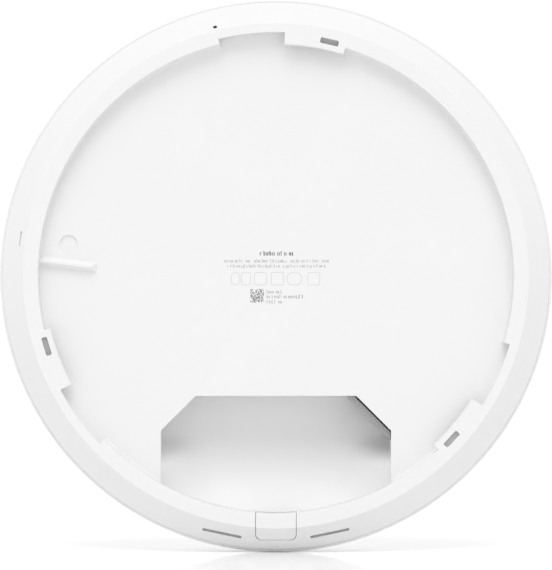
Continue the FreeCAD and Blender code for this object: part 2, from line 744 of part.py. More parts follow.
def power_transformer():
    """The transformer that isolates the power taken from the network cable."""
    x, z = 66, -14
    core = chip(x, z, 14, 13, BOARD_BACK - 9, BOARD_BACK - 1)
    base = chip(x, z, 17, 15, BOARD_BACK - 1, BOARD_BACK)
    bobbin = rod(5.6, BOARD_BACK - 9.6, BOARD_BACK - 9, x, z)
    return fuse([core, base, bobbin])


def network_transformer():
    """The long transformer block beside the ethernet jack."""
    return chip(66, -36, 12, 17, BOARD_BACK - 5.5, BOARD_BACK)


def standing_antenna(angle, radius, length, height):
    """A pressed sheet antenna that stands on the board on two legs, with a folded top."""
    sheet = 0.4
    leg = 3.0
    bottom, top = BOARD_FRONT, BOARD_FRONT + height
    face = block(-length / 2, length / 2, bottom + 2.4, top, -sheet / 2, sheet / 2)
    legs = [block(x, x + leg, bottom, bottom + 2.4, -sheet / 2, sheet / 2)
            for x in (-length / 2, length / 6)]
    fold = block(-length / 2, length / 2, top - sheet, top, -sheet / 2 - 4, sheet / 2)
    notch = block(-length / 4, length / 4 + 2, bottom + 4, bottom + 4.8, -1, 1)
    body = fuse([face, *legs, fold]).cut(notch)
    return turn(move(body, 0, 0, radius), angle)


ANTENNAS = {
    "antenna_2g_left": (-72, 76, 28, 8.0),
    "antenna_2g_right": (62, 76, 28, 8.0),
    "antenna_5g_left": (-112, 74, 17, 6.5),
    "antenna_5g_right": (112, 70, 17, 6.5),
    "antenna_6g_left": (-22, 76, 13, 5.5),
    "antenna_6g_right": (22, 76, 13, 5.5),
}


def bluetooth_antenna():
    """The small ceramic antenna near the board's edge."""
    return turn(chip(0, 80, 7, 2.5, BOARD_FRONT, BOARD_FRONT + 1.4), 2)


COAX_ENDS = {
    "antenna_lead_left": ((-67.5, 27), (-36, 51)),
    "antenna_lead_right": ((60, 25), (37, 26)),
}


def coax_sockets():
    """The tiny sockets at both ends of the two antenna leads."""
    return group([tube(1.5, 0.7, BOARD_FRONT, BOARD_FRONT + 1.0, x, z)
                  for ends in COAX_ENDS.values() for x, z in ends])


def antenna_lead(start, end):
    """A thin lead that arches from one socket to the other, with its round plugs."""
    socket_y = BOARD_FRONT + 1.0
    y = BOARD_FRONT + 4.6
    x0, z0 = start
    x1, z1 = end
    return lead([(x0, socket_y, z0), (x0, y, z0), (x1, y, z1), (x1, socket_y, z1)], 0.55, 1.8)


# Reset button

RESET_BORE_R = 1.25
RESET_BUTTON_R = 1.17
RESET_BUTTON_BACK = 5.2
RESET_GUIDE_END = 13.9
RESET_FLANGE = (14.0, 14.8)
RESET_NOSE_END = 17.75
SWITCH_BACK = 19.0


def reset_button():
    """The plunger behind the pin hole: a stem in its guide, a flange for the spring and a nose."""
    x, z = polar(RESET_R, RESET_ANGLE)
    stem = rod(RESET_BUTTON_R, RESET_BUTTON_BACK, RESET_FLANGE[0], x, z)
    flange = rod(2.4, RESET_FLANGE[0], RESET_FLANGE[1], x, z)
    nose = rod(0.9, RESET_FLANGE[1], RESET_NOSE_END, x, z)
    return fuse([stem, flange, nose])


def reset_switch():
    """The switch on the rear face of the board's ear."""
    body = turn(chip(0, RESET_R - 0.6, 4.6, 2.4, SWITCH_BACK, BOARD_BACK), RESET_ANGLE)
    x, z = polar(RESET_R, RESET_ANGLE)
    return body.fuse(rod(0.7, SWITCH_BACK - 0.5, SWITCH_BACK, x, z)).removeSplitter()


def reset_spring():
    """The coil spring between the plunger's flange and the switch."""
    wire_r = 0.16
    coil_r = 1.3
    x, z = polar(RESET_R, RESET_ANGLE)
    length = SWITCH_BACK - RESET_FLANGE[1] - 2 * wire_r - 0.1
    helix = Part.makeHelix(length / 4, length, coil_r)
    section = Part.Wire([Part.makeCircle(wire_r, FreeCAD.Vector(coil_r, 0, 0), FORWARD)])
    coil = Part.Wire(helix.Edges).makePipeShell([section], True, True)
    coil.rotate(CENTRE, FreeCAD.Vector(1, 0, 0), -90)
    return move(coil, x, RESET_FLANGE[1] + wire_r + 0.05, z)


# Ethernet port, built with its mouth towards -Z and then turned into the corner of the pocket

def place_at_port(shape):
    """Turns a shape built round the mouth into the pocket's corner."""
    return move(turn(shape, PORT_ANGLE), PORT_X, 0, PORT_Z)


def jack_body():
    """The black moulded body of the jack with the socket for the plug and its latch."""
    body = block(-JACK_HALF + SHELL, JACK_HALF - SHELL, JACK_BACK_Y + SHELL, JACK_FRONT_Y - SHELL,
                 -0.6, JACK_LENGTH - SHELL)
    socket = block(-SOCKET_HALF, SOCKET_HALF, SOCKET_Y[0], SOCKET_Y[1], -2, SOCKET_DEPTH)
    latch = block(-3.2, 3.2, SOCKET_Y[0] - 1.2, SOCKET_Y[0], -2, 8)
    return place_at_port(body.cut(socket).cut(latch))


def jack_shell():
    """The pressed metal shell round the jack body, open at the mouth."""
    outer = block(-JACK_HALF, JACK_HALF, JACK_BACK_Y, JACK_FRONT_Y, 0.3, JACK_LENGTH)
    inner = block(-JACK_HALF + SHELL, JACK_HALF - SHELL, JACK_BACK_Y + SHELL, JACK_FRONT_Y - SHELL,
                  -1, JACK_LENGTH - SHELL)
    return place_at_port(outer.cut(inner))


def jack_contacts():
    """The eight sprung contacts in the socket."""
    contacts = []
    for i in range(8):
        x = (i - 3.5) * 1.02
        bar = block(x - 0.22, x + 0.22, 18.9, 19.25, 1.5, 12.5)
        tip = block(x - 0.22, x + 0.22, 18.0, 18.9, 8.5, 8.9)
        contacts.append(bar.fuse(tip).removeSplitter())
    return place_at_port(group(contacts))


def port_bezel():
    """The frame in front of the jack, fitted between the walls of the pocket's corner."""
    half_chamfer = (POCKET_HALF - POCKET_TOP_HALF) / math.sqrt(2)
    back, front, gap = -0.7, -2.8, 0.25
    narrow = half_chamfer - back - gap
    wide = half_chamfer - front - gap
    frame = plate([(-wide, front), (wide, front), (narrow, back), (-narrow, back)],
                  8.2, POCKET_FLOOR - 1.6)
    mouth = block(-6.5, 6.5, 9.2, 20.6, front - 1, back + 1)
    body = frame.cut(mouth)
    top_edge = [e for e in body.Edges
                if abs(e.BoundBox.ZMax - front) < 1e-4 and abs(e.BoundBox.YMax - 8.2) < 1e-4
                and e.BoundBox.XLength > 15]
    return place_at_port(body.makeFillet(0.5, top_edge))


# Blower

FAN_SCREWS = [(FAN_X - 21.5, FAN_Z + 21.5), (FAN_X - 21.5, FAN_Z - 21.5), (FAN_X + 21.5, FAN_Z - 21.5)]


def at_fan(shape):
    """Moves a shape built round the fan's axis to its place."""
    return move(shape, FAN_X, 0, FAN_Z)


def fan_outline(grow):
    """The square outline of the blower with rounded corners."""
    half = FAN_HALF + grow
    return [(-half, -half, 5), (half, -half, 3), (half, half, 3), (-half, half, 5)]


def fan_case():
    """The blower's tray: base, scroll wall, outlet on the right and the bearing tube's seat."""
    outer = plate(fan_outline(0), FAN_WALL_Y, SINK_BACK)
    scroll = rod(BLADE_R + 2.2, FAN_WALL_Y - 1, FAN_BASE_Y)
    outlet = block(0, FAN_HALF + 1, FAN_WALL_Y - 1, FAN_BASE_Y, 0, BLADE_R + 2.2)
    body = outer.cut(scroll).cut(outlet)
    for x, z in FAN_SCREWS:
        body = body.cut(rod(1.2, 0, 30, x - FAN_X, z - FAN_Z))
    return at_fan(body)


def fan_cover():
    """The blower's lid with its round air inlet."""
    lid = plate(fan_outline(0), FAN_COVER_Y, FAN_WALL_Y).cut(rod(15, 0, 30))
    for x, z in FAN_SCREWS:
        lid = lid.cut(rod(1.2, 0, 30, x - FAN_X, z - FAN_Z))
    return at_fan(lid)


def fan_rotor():
    """The impeller: a cup round the motor, with curved blades."""
    hub = rod(HUB_R, 11.0, 15.6).cut(rod(HUB_R - 1.2, 12.0, 15.7)).cut(rod(SHAFT_R, 10, 13))
    ring = tube(BLADE_R, BLADE_R - 0.8, 11.0, 11.9)
    parts = [hub, ring]
    for i in range(BLADES):
        arc = sector(11.6, 12.4, -12, 64, 11.2, 15.4)
        blade = move(arc, -10.4, 0, 5.2).common(tube(BLADE_R - 0.1, HUB_R - 0.4, 0, 30))
        parts.append(turn(blade, i * 360 / BLADES))
    return at_fan(fuse(parts))


def fan_magnet():
    """The magnet ring inside the impeller's cup."""
    return at_fan(tube(HUB_R - 1.2, HUB_R - 2.4, 12.2, 15.4))


def fan_shaft():
    """The impeller's steel shaft."""
    return at_fan(rod(SHAFT_R, 11.0, 16.2))


def fan_bearing():
    """The sleeve bearing that stands on the blower's base."""
    return at_fan(tube(2.6, SHAFT_R + BEARING_CLEARANCE, 12.4, FAN_BASE_Y))


def fan_stator():
    """The stator: an iron star with a winding on each arm, pressed on to the bearing."""
    core = tube(4.2, 2.6, 12.8, 15.6)
    parts = [core]
    for i in range(6):
        arm = block(-0.9, 0.9, 13.6, 15.0, 3.8, 7.6)
        winding = block(-1.6, 1.6, 13.0, 15.5, 4.6, 7.2)
        shoe = sector(7.4, 8.6, -22, 22, 13.4, 15.2)
        parts.append(turn(arm.fuse(winding).fuse(shoe), i * 60))
    return at_fan(fuse(parts))


def fan_socket():
    """The blower's connector on the rear face of the main board."""
    return chip(FAN_X, 42.5, 6, 5, BOARD_BACK - 3, BOARD_BACK)


def fan_lead():
    """The blower's lead, from the case through the heat sink's window to its connector."""
    return lead([(FAN_X, 14.0, FAN_Z + FAN_HALF), (FAN_X, 14.0, 36.5), (FAN_X, 20.5, 36.5),
                 (FAN_X, 20.5, 40.0)], 0.8, 1.8)


# Light board

def led_board():
    """The ring-shaped board that carries the lamps, with three screw ears."""
    ring = tube(36, 24, LED_BOARD_BACK, LED_BOARD_FRONT)
    ear = rod(3.6, LED_BOARD_BACK, LED_BOARD_FRONT, 0, LED_SCREW_R)
    neck = block(-3.6, 3.6, LED_BOARD_BACK, LED_BOARD_FRONT, 34, LED_SCREW_R)
    body = fuse([ring] + [turn(ear.fuse(neck), i * 120) for i in range(3)])
    hole = rod(1.2, LED_BOARD_BACK - 1, LED_BOARD_FRONT + 1, 0, LED_SCREW_R)
    for i in range(3):
        body = body.cut(turn(hole, i * 120))
    return body


def leds():
    """Eight lamps under the light ring."""
    lamp = chip(0, LED_CIRCLE_R, 2.2, 1.4, LED_BOARD_FRONT, LED_BOARD_FRONT + 0.9)
    return group([turn(lamp, 22.5 + i * 45) for i in range(8)])


def led_connectors():
    """The two ends of the light board's lead: on the light board and on the main board."""
    return group([
        chip(0, -30.5, 8, 5, LED_BOARD_BACK - 2.4, LED_BOARD_BACK),
        chip(0, -33.5, 8, 5, BOARD_FRONT, BOARD_FRONT + 3),
    ])


def led_lead():
    """The lead from the main board to the light board."""
    top, low = LED_BOARD_BACK - 1.3, BOARD_FRONT + 1.5
    return lead([(0, top, -33.0), (0, top, -39.2), (0, low, -39.2), (0, low, -36.0)], 0.9, 1.9)


# Screws

def board_screws():
    """The six screws that clamp the main board and the heat sink to the rear housing."""
    places = [polar(SCREW_CIRCLE_R, angle) for angle in SINK_SCREWS + TALL_SCREWS]
    return group([screw(x, z, BOARD_FRONT, 13, 2.6, 1.6, 1.2) for x, z in places])


def fan_screws():
    """The three screws of the blower: their heads are at the rear, on its lid."""
    parts = []
    for x, z in FAN_SCREWS:
        one = screw(x, -z, -FAN_COVER_Y, 10.2, 1.9, 0.9, 0.95)
        one.rotate(CENTRE, FreeCAD.Vector(1, 0, 0), 180)
        parts.append(one)
    return group(parts)


def led_screws():
    """The three screws of the light board: their heads are at the rear."""
    parts = []
    for i in range(3):
        x, z = polar(LED_SCREW_R, i * 120)
        one = screw(x, -z, -LED_BOARD_BACK, 6, 2.0, 1.1, 0.95)
        one.rotate(CENTRE, FreeCAD.Vector(1, 0, 0), 180)
        parts.append(one)
    return group(parts)


def pieces():
    """Every piece of the access point by name."""
    made = {
        "rear_housing": rear_housing(),
        "front_dome": front_dome(),
        "cable_cover": cable_cover(),
        "light_ring": light_ring(),
        "front_disc": front_disc(),
        "main_board": main_board(),
        "heat_sink": heat_sink(),
        "thermal_pads": thermal_pads(),
        "memory_chips": memory_chips(),
        "flash_chip": flash_chip(),
        "clock_crystal": crystal(),
        "amplifier_chips": amplifiers(),
        "power_capacitors": capacitors(),
        "power_inductors": power_inductors(),
        "power_transformer": power_transformer(),
        "network_transformer": network_transformer(),
        "bluetooth_antenna": bluetooth_antenna(),
        "antenna_sockets": coax_sockets(),
        "reset_button": reset_button(),
        "reset_switch": reset_switch(),
        "reset_spring": reset_spring(),
        "ethernet_jack_body": jack_body(),
        "ethernet_jack_shell": jack_shell(),
        "ethernet_contacts": jack_contacts(),
        "port_bezel": port_bezel(),
        "fan_case": fan_case(),
        "fan_cover": fan_cover(),
        "fan_rotor": fan_rotor(),
        "fan_magnet": fan_magnet(),
        "fan_shaft": fan_shaft(),
        "fan_bearing": fan_bearing(),
        "fan_stator": fan_stator(),
        "fan_socket": fan_socket(),
        "fan_lead": fan_lead(),
        "led_board": led_board(),
        "leds": leds(),
        "led_connectors": led_connectors(),
        "led_lead": led_lead(),
        "board_screws": board_screws(),
        "fan_screws": fan_screws(),
        "led_screws": led_screws(),
    }
    for name, places in HOT_CHIPS.items():
        made[name] = group(chips(places)) if len(places) > 1 else chips(places)[0]
    for name, size in SHIELDS.items():
        made[name] = shield(*size)
    for name, size in ANTENNAS.items():
        made[name] = standing_antenna(*size)
    for name, ends in COAX_ENDS.items():
        made[name] = antenna_lead(*ends)
    return made


os.makedirs("parts", exist_ok=True)
for name, shape in pieces().items():
    print(name, "solids", len(shape.Solids), "volume", round(shape.Volume, 1), "valid", shape.isValid())
    shape.exportStep("parts/" + name + ".step")
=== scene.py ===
"""The looks of a round ceiling access point, seen from behind. Metres, in the CAD model's frame.

The rear rim faces -Y, the dome's front faces +Y, +Z is up and the cable exit is at the bottom.
"""

import json
import math
import random

import bmesh
import bpy
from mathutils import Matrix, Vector


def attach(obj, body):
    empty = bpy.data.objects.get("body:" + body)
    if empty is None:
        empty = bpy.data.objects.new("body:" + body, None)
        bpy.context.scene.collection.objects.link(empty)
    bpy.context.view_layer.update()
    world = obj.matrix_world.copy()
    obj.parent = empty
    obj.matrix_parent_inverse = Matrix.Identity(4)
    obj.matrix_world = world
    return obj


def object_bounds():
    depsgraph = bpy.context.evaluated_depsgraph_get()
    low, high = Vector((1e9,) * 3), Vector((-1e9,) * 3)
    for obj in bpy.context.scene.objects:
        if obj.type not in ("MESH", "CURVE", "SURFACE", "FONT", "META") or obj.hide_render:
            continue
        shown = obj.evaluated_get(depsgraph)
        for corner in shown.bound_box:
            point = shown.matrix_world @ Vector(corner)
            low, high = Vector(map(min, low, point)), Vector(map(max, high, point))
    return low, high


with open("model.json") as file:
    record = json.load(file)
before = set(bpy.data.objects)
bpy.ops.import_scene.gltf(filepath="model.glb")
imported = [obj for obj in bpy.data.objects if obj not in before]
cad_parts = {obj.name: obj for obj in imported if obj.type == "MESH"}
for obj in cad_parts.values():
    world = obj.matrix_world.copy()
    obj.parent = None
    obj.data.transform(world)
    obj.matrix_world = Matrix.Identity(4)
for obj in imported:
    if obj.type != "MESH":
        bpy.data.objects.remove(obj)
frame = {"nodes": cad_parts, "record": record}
CAD_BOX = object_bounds()
NODES = frame["nodes"]
SLOT_OF = {part["node"]: part["material_slot"] for part in frame["record"]["subparts"]}
MM = 0.001

# Camera: level, square to the rear rim, from across the room
CAMERA_PLACE = (0.00003, -1.6, -0.00342)
CAMERA_LENS = 272.6
CAMERA_SENSOR = 36.0

# Light
SKY_LEVEL = 1.0          # brightness of the sky at the horizon on the camera's side
SKY_BEHIND = 0.16        # extra brightness behind the object
SKY_ZENITH = 0.32        # how much darker the sky is overhead
KEY_STRENGTH = 1.2
KEY_ELEVATION = 56.0     # degrees above the horizon, from the camera's side
KEY_SIDE = -4.0          # degrees to the left
KEY_SPREAD = 38.0
FLOOR_SIZE = 60.0


class Graph:
    """A material's nodes, with one short call for each kind of node."""

    def __init__(self, name):
        self.material = bpy.data.materials.new(name)
        self.material.use_nodes = True
        self.tree = self.material.node_tree
        self.tree.nodes.clear()
        self.shader = self.tree.nodes.new("ShaderNodeBsdfPrincipled")
        output = self.tree.nodes.new("ShaderNodeOutputMaterial")
        self.tree.links.new(self.shader.outputs["BSDF"], output.inputs["Surface"])
        self.place = self.tree.nodes.new("ShaderNodeTexCoord").outputs["Object"]

    def node(self, kind, inputs, **settings):
        new = self.tree.nodes.new(kind)
        for key, value in settings.items():
            setattr(new, key, value)
        for key, value in inputs.items():
            self.feed(new.inputs[key], value)
        return new

    def feed(self, socket, value):
        if isinstance(value, bpy.types.NodeSocket):
            self.tree.links.new(value, socket)
        else:
            socket.default_value = value

    def set(self, **values):
        """Sets the shader's inputs: set(Base_Color=...) is its input named Base Color."""
        for key, value in values.items():
            self.feed(self.shader.inputs[key.replace("_", " ")], value)

    def stretch(self, scale, place=None):
        inputs = {"Vector": place or self.place, "Scale": scale}
        return self.node("ShaderNodeMapping", inputs).outputs["Vector"]

    def noise(self, size, detail=2.0, rough=0.5, place=None):
        inputs = {"Vector": place or self.place, "Scale": 1 / size, "Detail": detail, "Roughness": rough}
        return self.node("ShaderNodeTexNoise", inputs).outputs["Fac"]

    def cells(self, size, feature="F1", output="Distance", place=None, spread=1.0):
        inputs = {"Vector": place or self.place, "Scale": 1 / size, "Randomness": spread}
        return self.node("ShaderNodeTexVoronoi", inputs, feature=feature).outputs[output]

    def bands(self, size, direction, distortion=0.0, place=None):
        inputs = {"Vector": place or self.place, "Scale": 1 / size, "Distortion": distortion}
        return self.node("ShaderNodeTexWave", inputs, bands_direction=direction).outputs["Fac"]

    def remap(self, value, low, high, from_low=0.0, from_high=1.0, smooth=False):
        inputs = {"Value": value, "From Min": from_low, "From Max": from_high, "To Min": low, "To Max": high}
        kind = "SMOOTHSTEP" if smooth else "LINEAR"
        return self.node("ShaderNodeMapRange", inputs, interpolation_type=kind).outputs["Result"]

    def maths(self, operation, a, b):
        return self.node("ShaderNodeMath", {0: a, 1: b}, operation=operation).outputs["Value"]

    def blend(self, share, a, b):
        new = self.tree.nodes.new("ShaderNodeMix")
        new.data_type = "RGBA"
        self.feed(new.inputs[0], share)
        self.feed(new.inputs[6], a)
        self.feed(new.inputs[7], b)
        return new.outputs[2]

    def bump(self, height, depth, normal=None):
        inputs = {"Height": height, "Distance": depth, "Strength": 1.0}
        if normal:
            inputs["Normal"] = normal
        return self.node("ShaderNodeBump", inputs).outputs["Normal"]


def rgba(colour, factor=1.0):
    return tuple(min(1.0, c * factor) for c in colour) + (1.0,)


def moulded(name, colour, rough, grain, depth, shade=0.02, wear=0.05, ior=1.5):
    """Moulded plastic: a spark-eroded grain, a slow drift of shade, and rough and smooth patches."""
    g = Graph(name)
    drift = g.noise(0.045, 3)
    speck = g.noise(grain * 3, 2)
    tone = g.maths("ADD", drift, g.remap(speck, -0.1, 0.1))
    g.set(
        Base_Color=g.blend(g.remap(tone, 0, 1, 0.25, 0.75), rgba(colour, 1 - shade), rgba(colour, 1 + shade)),
        Roughness=g.remap(g.noise(0.012, 4, 0.6), rough - wear, rough + wear, 0.3, 0.7),
        IOR=ior,
    )
    waves = g.bump(g.noise(0.03, 2), 0.00002)
    g.set(Normal=g.bump(g.noise(grain, 3, 0.6), depth, waves))
    return g.material


def metal(name, colour, rough, grain=(1, 1, 1), size=0.0004, depth=0.000004, shade=0.08):
    """Bare or plated metal. grain stretches its marks, as rolling and brushing do."""
    g = Graph(name)
    lines = g.noise(size, 4, 0.65, g.stretch(grain))
    patches = g.noise(0.006, 4, 0.6)
    g.set(
        Base_Color=g.blend(patches, rgba(colour, 1 - shade), rgba(colour, 1 + shade)),
        Metallic=1.0,
        Roughness=g.remap(g.maths("ADD", lines, g.remap(patches, -0.3, 0.3)), rough * 0.7, rough * 1.35, 0.2, 0.8),
    )
    g.set(Normal=g.bump(lines, depth))
    return g.material


def circuit_board(name, mask, copper, pad):
    """A printed board: solder mask over square-cornered traces, with plated points among them."""
    g = Graph(name)
    flat = g.stretch((1, 0, 1))
    routes = g.cells(0.0032, "F1", "Color", flat, 0.9)
    level = g.node("ShaderNodeSeparateColor", {"Color": routes})
    across = g.bands(0.0034, "X", 0.0, flat)
    along = g.bands(0.0034, "Z", 0.0, flat)
    turn = g.remap(level.outputs["Red"], 0, 1, 0.48, 0.52)
    rest = g.maths("SUBTRACT", 1.0, turn)
    lines = g.maths("ADD", g.maths("MULTIPLY", across, turn), g.maths("MULTIPLY", along, rest))
    trace = g.remap(lines, 0, 1, 0.55, 0.66, smooth=True)
    points = g.remap(g.cells(0.0024, "F1", "Distance", flat, 0.8), 1, 0, 0.10, 0.13)
    grain = g.noise(0.00025, 3)
    cover = g.blend(trace, rgba(mask), rgba(copper))
    g.set(
        Base_Color=g.blend(points, cover, rgba(pad)),
        Roughness=g.remap(grain, 0.28, 0.42),
        Metallic=points,
        Coat_Weight=0.25,
        Coat_Roughness=0.25,
    )
    rise = g.bump(trace, 0.00003, g.bump(grain, 0.000004))
    g.set(Normal=g.bump(points, 0.00002, rise))
    return g.material


def clear_ring(name):
    """Frosted, slightly milky polycarbonate."""
    g = Graph(name)
    frost = g.noise(0.0003, 3, 0.6)
    cloud = g.noise(0.008, 3)
    g.set(
        Base_Color=g.blend(cloud, (0.86, 0.875, 0.89, 1), (0.92, 0.925, 0.93, 1)),
        Roughness=g.remap(frost, 0.32, 0.5),
        Transmission_Weight=0.45,
        IOR=1.585,
        Normal=g.bump(frost, 0.000008),
    )
    return g.material


def package(name, body, rough=0.55):
    """Moulded epoxy of a chip: dark, with a fine glittering filler."""
    g = Graph(name)
    filler = g.cells(0.00012, "F1", "Color")
    level = g.node("ShaderNodeSeparateColor", {"Color": filler}).outputs["Red"]
    grain = g.noise(0.00015, 3, 0.6)
    g.set(
        Base_Color=g.blend(g.remap(level, 0, 0.5, 0.6, 1.0), rgba(body), rgba(body, 2.2)),
        Roughness=g.remap(grain, rough - 0.1, rough + 0.12),
        Normal=g.bump(grain, 0.000006),
    )
    return g.material


def pressed_shield(name, colour):
    """Tinned sheet steel with drawing lines and a faint orange peel."""
    g = Graph(name)
    lines = g.noise(0.0005, 4, 0.7, g.stretch((14, 1, 1)))
    peel = g.noise(0.0016, 2)
    bloom = g.noise(0.009, 4, 0.6)
    g.set(
        Base_Color=g.blend(bloom, rgba(colour, 0.86), rgba(colour, 1.06)),
        Metallic=1.0,
        Roughness=g.remap(g.maths("MULTIPLY", lines, bloom), 0.22, 0.46, 0.1, 0.5),
        Normal=g.bump(peel, 0.000012, g.bump(lines, 0.000003)),
    )
    return g.material


def winding(name, copper, varnish):
    """Enamelled wire wound on the stator's teeth."""
    g = Graph(name)
    turns = g.bands(0.0011, "Y", 0.6)
    cross = g.bands(0.0011, "X", 1.2)
    layers = g.maths("MAXIMUM", turns, g.maths("MULTIPLY", cross, 0.7))
    stain = g.noise(0.002, 4)
    g.set(
        Base_Color=g.blend(g.maths("MULTIPLY", layers, stain), rgba(varnish), rgba(copper)),
        Metallic=0.75,
        Roughness=g.remap(stain, 0.22, 0.42),
        Normal=g.bump(layers, 0.00009),
    )
    return g.material


def lamp(name):
    """A white LED: a pale case round a yellow phosphor."""
    g = Graph(name)
    grain = g.noise(0.0002, 3)
    glow = g.noise(0.0009, 2)
    g.set(
        Base_Color=g.blend(g.remap(glow, 0, 1, 0.45, 0.62), (0.86, 0.85, 0.80, 1), (0.86, 0.66, 0.20, 1)),
        Roughness=g.remap(grain, 0.25, 0.4),
        Subsurface_Weight=0.1,
        Normal=g.bump(grain, 0.000005),
    )
    return g.material


def insulated_lead(name, colour):
    g = Graph(name)
    grain = g.noise(0.0003, 3)
    lay = g.bands(0.0024, "DIAGONAL", 0.4)
    g.set(
        Base_Color=g.blend(g.noise(0.004, 3), rgba(colour, 0.8), rgba(colour, 1.5)),
        Roughness=g.remap(grain, 0.38, 0.55),
        Normal=g.bump(lay, 0.00002, g.bump(grain, 0.000005)),
    )
    return g.material


def floor_finish(name):
    """Pale, polished studio floor."""
    g = Graph(name)
    drift = g.noise(0.4, 3)
    g.set(
        Base_Color=g.blend(drift, (0.945, 0.945, 0.945, 1), (0.96, 0.96, 0.96, 1)),
        Roughness=g.remap(g.noise(0.05, 3), 0.08, 0.1),
        IOR=1.05,
        Normal=g.bump(g.noise(0.02, 2), 0.000001),
    )
    return g.material


def printed_ink(name, colour):
    g = Graph(name)
    mesh = g.noise(0.00018, 3, 0.6)
    g.set(
        Base_Color=g.blend(mesh, rgba(colour, 0.9), rgba(colour, 1.12)),
        Roughness=g.remap(mesh, 0.5, 0.7),
        Normal=g.bump(mesh, 0.000004),
    )
    return g.material


WHITE = (0.80, 0.80, 0.803)

FINISHES = {
    "housing_white": moulded("housing_white", WHITE, 0.52, 0.00035, 0.000007, 0.006),
    "dome_white": moulded("dome_white", (0.81, 0.81, 0.812), 0.42, 0.0005, 0.000003, 0.005),
    "cover_white": moulded("cover_white", (0.80, 0.80, 0.802), 0.5, 0.00035, 0.000007, 0.006),
    "disc_white": moulded("disc_white", (0.81, 0.81, 0.812), 0.38, 0.0005, 0.000003, 0.005),
    "button_white": moulded("button_white", (0.78, 0.78, 0.78), 0.45, 0.0003, 0.000005, 0.01),
    "bezel_grey": moulded("bezel_grey", (0.36, 0.365, 0.37), 0.5, 0.0003, 0.000008, 0.06),
    "jack_black": moulded("jack_black", (0.012, 0.012, 0.013), 0.42, 0.00025, 0.000006, 0.1),
    "fan_black": moulded("fan_black", (0.018, 0.018, 0.019), 0.4, 0.0003, 0.000008, 0.12),
    "connector_cream": moulded("connector_cream", (0.78, 0.74, 0.62), 0.42, 0.0003, 0.000005, 0.03),
    "pad_grey": moulded("pad_grey", (0.33, 0.35, 0.40), 0.75, 0.0003, 0.00002, 0.08),
    "ceramic_white": moulded("ceramic_white", (0.72, 0.71, 0.68), 0.6, 0.0002, 0.000008, 0.04),
    "ferrite_grey": moulded("ferrite_grey", (0.055, 0.053, 0.052), 0.62, 0.0002, 0.00002, 0.2),
    "ring_clear": clear_ring("ring_clear"),
    "jack_steel": pressed_shield("jack_steel", (0.66, 0.65, 0.63)),
    "shield_steel": pressed_shield("shield_steel", (0.70, 0.69, 0.67)),
    "contact_gold": metal("contact_gold", (0.86, 0.62, 0.26), 0.22, (1, 8, 1)),
    "antenna_steel": metal("antenna_steel", (0.64, 0.63, 0.61), 0.30, (10, 1, 1)),
    "can_aluminium": metal("can_aluminium", (0.78, 0.78, 0.79), 0.26, (1, 12, 1)),
    "sink_aluminium": metal("sink_aluminium", (0.72, 0.72, 0.73), 0.42, (1, 1, 1), 0.0007, 0.00001),
    "bearing_bronze": metal("bearing_bronze", (0.55, 0.36, 0.18), 0.45, (1, 1, 1), 0.0002, 0.00001),
    "bright_steel": metal("bright_steel", (0.68, 0.67, 0.66), 0.18, (1, 10, 1)),
    "screw_steel": metal("screw_steel", (0.52, 0.51, 0.50), 0.3, (6, 1, 6)),
    "chip_black": package("chip_black", (0.016, 0.016, 0.017)),
    "board_green": circuit_board("board_green", (0.012, 0.085, 0.035), (0.03, 0.16, 0.06), (0.72, 0.55, 0.28)),
    "light_board_white": circuit_board("light_board_white", (0.78, 0.78, 0.77), (0.70, 0.70, 0.69), (0.7, 0.68, 0.62)),
    "winding_copper": winding("winding_copper", (0.80, 0.36, 0.15), (0.38, 0.10, 0.03)),
    "lead_black": insulated_lead("lead_black", (0.016, 0.016, 0.017)),
    "lamp_white": lamp("lamp_white"),
}


def dress(nodes):
    """Gives each CAD node the finish of its slot in the record."""
    for name, node in nodes.items():
        finish = FINISHES[SLOT_OF[name]]
        node.data.materials.clear()
        node.data.materials.append(finish)


dress(NODES)


# Printed legend: rows of small bars and plain outlines, as a thin film of ink on the recess floor.
# Its sizes are in millimetres.

FILM = 0.03 * MM
RECESS_FLOOR = 5.5 * MM
FINE_ROWS = (            # left end, right end, level, height, stroke
    (-19.2, -9.4, 5.6, 1.3, 0.14),
    (-8.0, 4.0, 5.6, 1.3, 0.14),
    (5.5, 19.6, 5.6, 1.3, 0.14),
    (-18.0, 18.3, 3.7, 1.3, 0.14),
    (-3.4, 2.5, -5.9, 1.3, 0.16),
    (-3.4, 6.0, -7.7, 1.3, 0.16),
    (6.3, 9.9, -7.65, 1.6, 0.16),
    (-3.4, 2.5, -9.65, 1.3, 0.16),
)
SHAPES = (               # middle, half width, corner
    (-15.0, 1.7, 1.7),
    (-11.1, 1.7, 0.6),
    (-5.7, 2.4, 1.2),
    (0.6, 2.4, 0.5),
    (6.9, 2.9, 2.4),
    (14.1, 2.3, 0.8),
)
SHAPES_LEVEL = -1.05
SHAPES_HALF = 2.45
SHAPES_STROKE = 0.2


